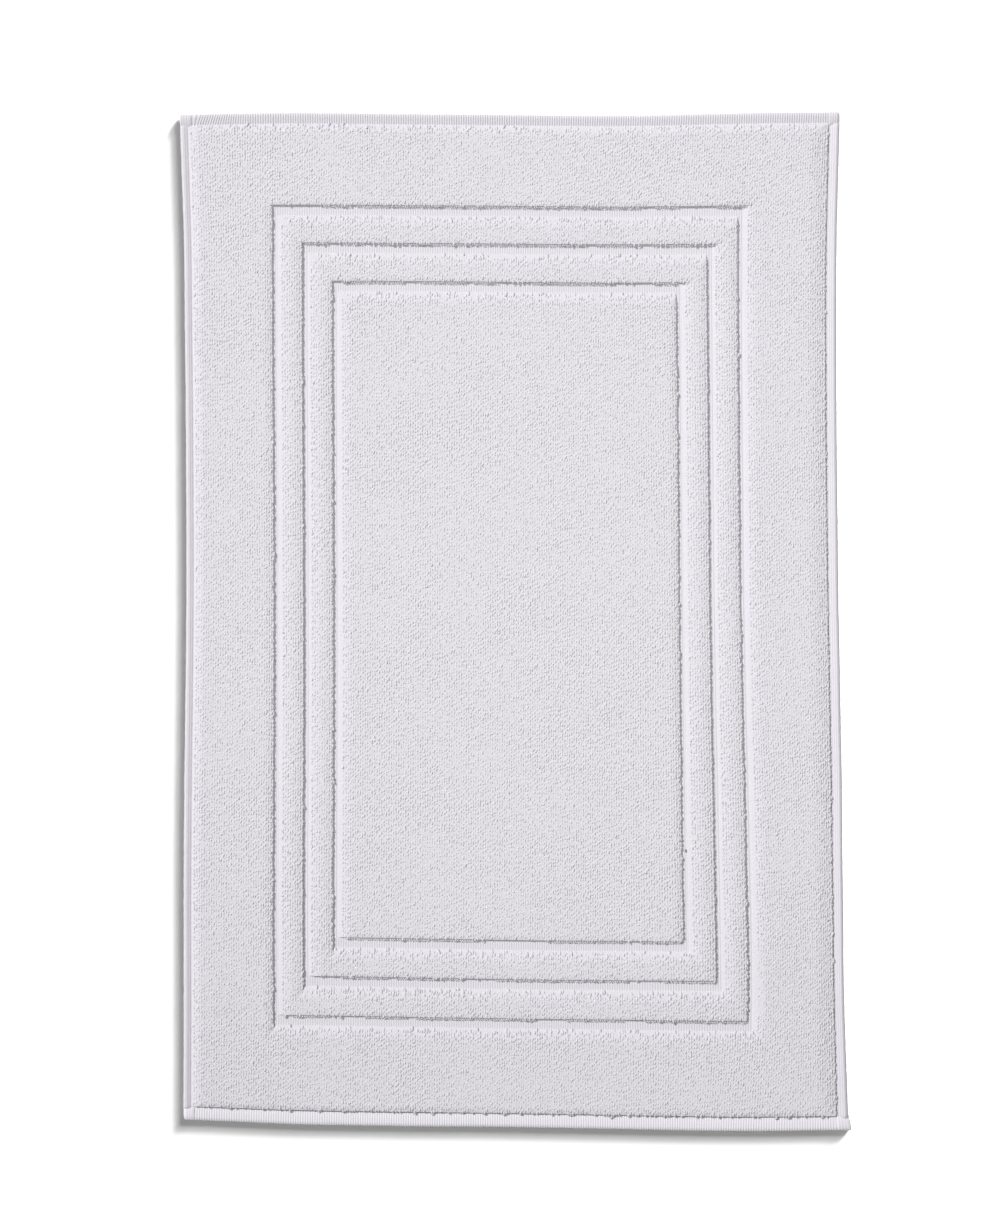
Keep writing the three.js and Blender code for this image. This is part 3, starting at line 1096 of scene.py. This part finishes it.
end_outline = fold_outline(END_HEM_WIDTH, hem_top, END_RELIEF)
end_count = 4 * round(MAT_WIDTH / WARP_PITCH)
end_stations = np.linspace(-MAT_WIDTH / 2, MAT_WIDTH / 2, end_count + 1)
from_end = MAT_WIDTH / 2 - np.abs(end_stations)
patch = smooth_step((PATCH_LENGTH + PATCH_FADE * 2 / 3 - from_end) / PATCH_FADE)
rib = np.cos(2 * math.pi * end_stations / WARP_PITCH) * (1 - patch)
is_far_half = end_stations > 0
drawn = smooth_step((from_end - PATCH_LENGTH) / DRAWN_START)
drawn *= smooth_step((DRAWN_END - from_end) / DRAWN_FADE)
ribs_drawn = -RIBS_DRAWN * drawn * is_far_half
flare = CORNER_FLARE * smooth_step(1 - from_end / FLARE_LENGTH) * is_far_half
for node, turn, height, lean, corners, cotton in (
    ("top_end_hem", QUARTER, TOP_RIB, ribs_drawn, TOP_CORNERS, hem_cotton),
    ("bottom_end_hem", -QUARTER, BOTTOM_RIB, flare, BOTTOM_CORNERS, flat_painted_light_hem_cotton),
):
    hem, woven = fold_hem(f"{node}_fold", end_outline, end_stations, height * rib, patch, lean, corners)
    set_places(hem.data, to_edge(places_of(hem.data), turn, MAT_LENGTH / 2 - END_HEM_WIDTH))
    lay_down(hem, cotton, "hem_weave", node, woven=woven)


# ---------------------------------------------------------------------------------------------------------
# The stitching. Each hem is held by a row of lockstitches: a needle thread on the face and a bobbin thread
# on the back, pulled down into the cloth between one needle hole and the next.

STITCH_LENGTH = 3.0 * MM
STITCH_SHARE = 0.92
THREAD_WIDTH = 0.5 * MM
THREAD_TWISTS = 900
THREAD_RELIEF = 0.1 * MM
THREAD_SHADE = 0.95
THREAD_LIGHT = 1.1
THREAD_WEAR = 0.15
THREAD_ROUGHNESS = 0.5
# A stitch dips at its ends by this share of the thread's width, and lies a few degrees askew.
ENDS_DIP = 0.5
NEEDLE_SUNK = 0.35 * MM
BOBBIN_BELOW = 0.25 * MM
STITCH_SKEW = 3
STRAY_SKEW = 2
STRAY_STITCH = 0.05


def make_thread_cotton():
    """Sewing thread: a tightly twisted white cotton, a little glossier than the cloth."""
    made, tree, shader = new_material("white_thread")
    twist = noise_node(tree, woven_place(tree), THREAD_TWISTS)
    tinted(tree, shader, twist, shaded(COTTON_WHITE, THREAD_SHADE), shaded(COTTON_WHITE, THREAD_LIGHT))
    rough = sum_node(tree, "MULTIPLY_ADD", twist, THREAD_WEAR, THREAD_ROUGHNESS)
    tree.links.new(rough, shader.inputs["Roughness"])
    bumped(tree, shader, twist, THREAD_RELIEF)
    return made


thread_cotton = make_thread_cotton()

deselect_all()
bpy.ops.mesh.primitive_uv_sphere_add(segments=6, ring_count=4, radius=0.5)
stitch_sphere, stitch_triangles = take_shape()
stitch_shape = np.stack([stitch_sphere[:, 0], stitch_sphere[:, 2], stitch_sphere[:, 1]], axis=1)
stitch_triangles = stitch_triangles[:, ::-1]
stitch_shape = stitch_shape * (THREAD_WIDTH, STITCH_LENGTH * STITCH_SHARE, THREAD_WIDTH)
stitch_shape[:, 2] -= ENDS_DIP * THREAD_WIDTH * (stitch_shape[:, 1] / (STITCH_LENGTH / 2)) ** 2


def sew(node, seed):
    """One row of stitches along the line of its CAD thread."""
    low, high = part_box(node)
    centre = (low + high) / 2
    runs_along = high.y - low.y > high.x - low.x
    length = (high.y - low.y) if runs_along else (high.x - low.x)
    count = round(length / STITCH_LENGTH)
    along = (np.arange(count) + 0.5) / count * length - length / 2
    random = np.random.default_rng(seed)
    on_face = centre.z > hem_top - HEM_PLY
    yaw = np.radians(STITCH_SKEW + random.normal(0, STRAY_SKEW, count)) + (0 if runs_along else QUARTER)
    level = hem_top - NEEDLE_SUNK if on_face else side_low.z - BOBBIN_BELOW
    places = np.empty((count, 3))
    places[:, 0] = centre.x if runs_along else along
    places[:, 1] = along if runs_along else centre.y
    places[:, 2] = level
    sizes = random.normal(1, STRAY_STITCH, (count, 3))
    shape = stitch_shape if on_face else stitch_shape * (1, 1, -1)
    triangles = stitch_triangles if on_face else stitch_triangles[:, ::-1]
    row = copies_mesh(f"{node}_stitches", shape, triangles, turned(yaw, 0 * yaw, 0 * yaw), sizes, places)
    lay_down(row, thread_cotton, "sewing_thread", node)


for order, edge_name in enumerate(("top_end", "bottom_end", "left_side", "right_side")):
    sew(f"{edge_name}_needle_thread", 60 + order)
    sew(f"{edge_name}_bobbin_thread", 70 + order)


# ---------------------------------------------------------------------------------------------------------
# The lattice goes, now that every piece has been laid through it.

bpy.data.objects.remove(lie)
